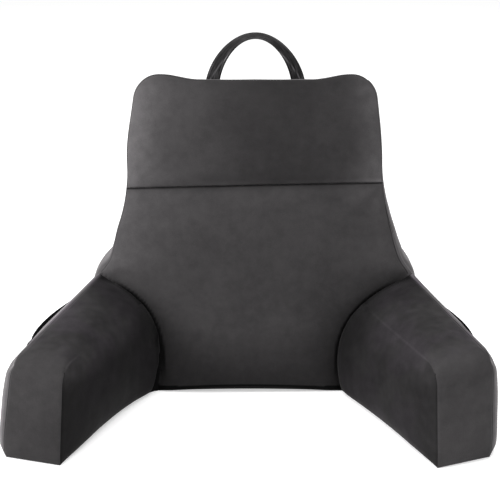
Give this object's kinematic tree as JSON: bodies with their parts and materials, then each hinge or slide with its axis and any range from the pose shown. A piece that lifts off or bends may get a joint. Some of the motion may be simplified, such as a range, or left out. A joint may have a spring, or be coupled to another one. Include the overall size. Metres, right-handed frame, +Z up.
{
  "type": "reading pillow",
  "caption": "Free-standing cushion that leans back, with a sewn-off head section, filled arms that reach forward, a carrying handle on top and open cloth side pockets",
  "frame": {"origin": "middle of the bounding box, on the surface that the pillow stands on", "axes": "+X to the right seen from in front, -Y the side that a reader leans against, +Z up"},
  "size_m": [0.7281, 0.5476, 0.5463],
  "materials": {
    "velour": "short-pile charcoal velour with a soft sheen",
    "pocket_cloth": "matte black woven cloth"
  },
  "bodies": {
    "root": {"back_section": "velour", "head_section": "velour", "arm_left": "velour", "arm_right": "velour", "handle_strap": "velour", "pocket_left": "pocket_cloth", "pocket_right": "pocket_cloth"}
  },
  "joints": []
}
